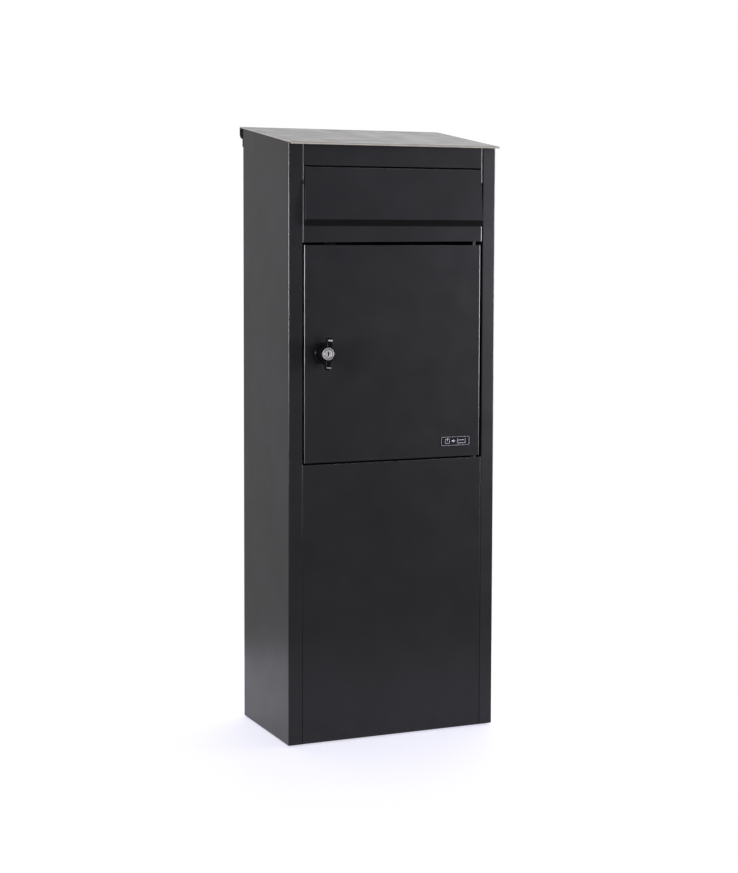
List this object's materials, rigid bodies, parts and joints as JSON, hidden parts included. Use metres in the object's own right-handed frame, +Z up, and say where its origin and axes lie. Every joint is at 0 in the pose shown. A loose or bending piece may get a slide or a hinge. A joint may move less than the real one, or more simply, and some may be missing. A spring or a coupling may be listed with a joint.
{
  "type": "parcel drop box",
  "caption": "Free-standing sheet-steel parcel drop box with a sloping roof, a top-hung drop flap, and a lockable side-hinged door over a closed plinth.",
  "frame": {"origin": "centre of the bounding box at ground level", "axes": "+Z up, +X to the right seen from the front, the front with flap and door faces -Y"},
  "size_m": [0.381, 0.2656, 1.0399],
  "materials": {
    "body_paint": "satin black powder coat",
    "roof_paint": "satin black powder coat, catching the light",
    "inner_paint": "matt black powder coat",
    "zinc_steel": "zinc-plated",
    "lock_black": "black die-cast",
    "lock_face": "satin nickel plate",
    "rubber": "matt",
    "nylon": "natural",
    "badge": "dark plate with a bright border"
  },
  "bodies": {
    "housing": {"left_side_panel": "body_paint", "right_side_panel": "body_paint", "back_panel": "body_paint", "back_rivet_1": "body_paint", "back_rivet_2": "body_paint", "back_rivet_3": "body_paint", "back_rivet_4": "body_paint", "back_rivet_5": "body_paint", "back_rivet_6": "body_paint", "base_plate": "inner_paint", "roof_panel": "roof_paint", "roof_screw_left": "zinc_steel", "roof_screw_middle": "zinc_steel", "roof_screw_right": "zinc_steel", "roof_bracket_left": "inner_paint", "roof_bracket_right": "inner_paint", "front_frame": "body_paint", "lower_front_panel": "body_paint", "compartment_floor": "inner_paint", "drop_chute": "inner_paint", "strike_plate": "zinc_steel", "strike_rivet_lower": "zinc_steel", "strike_rivet_upper": "zinc_steel", "door_stop_upper": "rubber", "door_stop_lower": "rubber", "hinge_pin_upper": "zinc_steel", "hinge_pin_lower": "zinc_steel", "flap_pivot_left": "zinc_steel", "flap_pivot_right": "zinc_steel", "flap_bumper_left": "rubber", "flap_bumper_right": "rubber"},
    "door": {"door_panel": "body_paint", "door_stiffener": "inner_paint", "door_bush_upper": "nylon", "door_bush_lower": "nylon", "badge_plate": "badge", "lock_housing": "lock_black", "lock_nut": "zinc_steel"},
    "knob": {"wing_knob": "lock_black", "cylinder_shell": "lock_face", "lock_cam": "zinc_steel", "cam_screw": "zinc_steel"},
    "plug": {"lock_plug": "lock_face"},
    "flap": {"flap_panel": "body_paint", "flap_stiffener": "inner_paint"}
  },
  "joints": [
    {"name": "door_hinge", "type": "hinge", "parent": "housing", "child": "door", "pos_m": [0.1525, -0.09625, 0.655], "axis": [0, 0, 1], "range_deg": [0, 115]},
    {"name": "flap_hinge", "type": "hinge", "parent": "housing", "child": "flap", "pos_m": [0, -0.09725, 0.939], "axis": [-1, 0, 0], "range_deg": [0, 62]},
    {"name": "knob_turn", "type": "hinge", "parent": "door", "child": "knob", "pos_m": [-0.1285, -0.11325, 0.657], "axis": [0, 1, 0], "range_deg": [0, 90]},
    {"name": "plug_turn", "type": "hinge", "parent": "knob", "child": "plug", "pos_m": [-0.1285, -0.12125, 0.657], "axis": [0, 1, 0], "range_deg": [0, 90]}
  ]
}
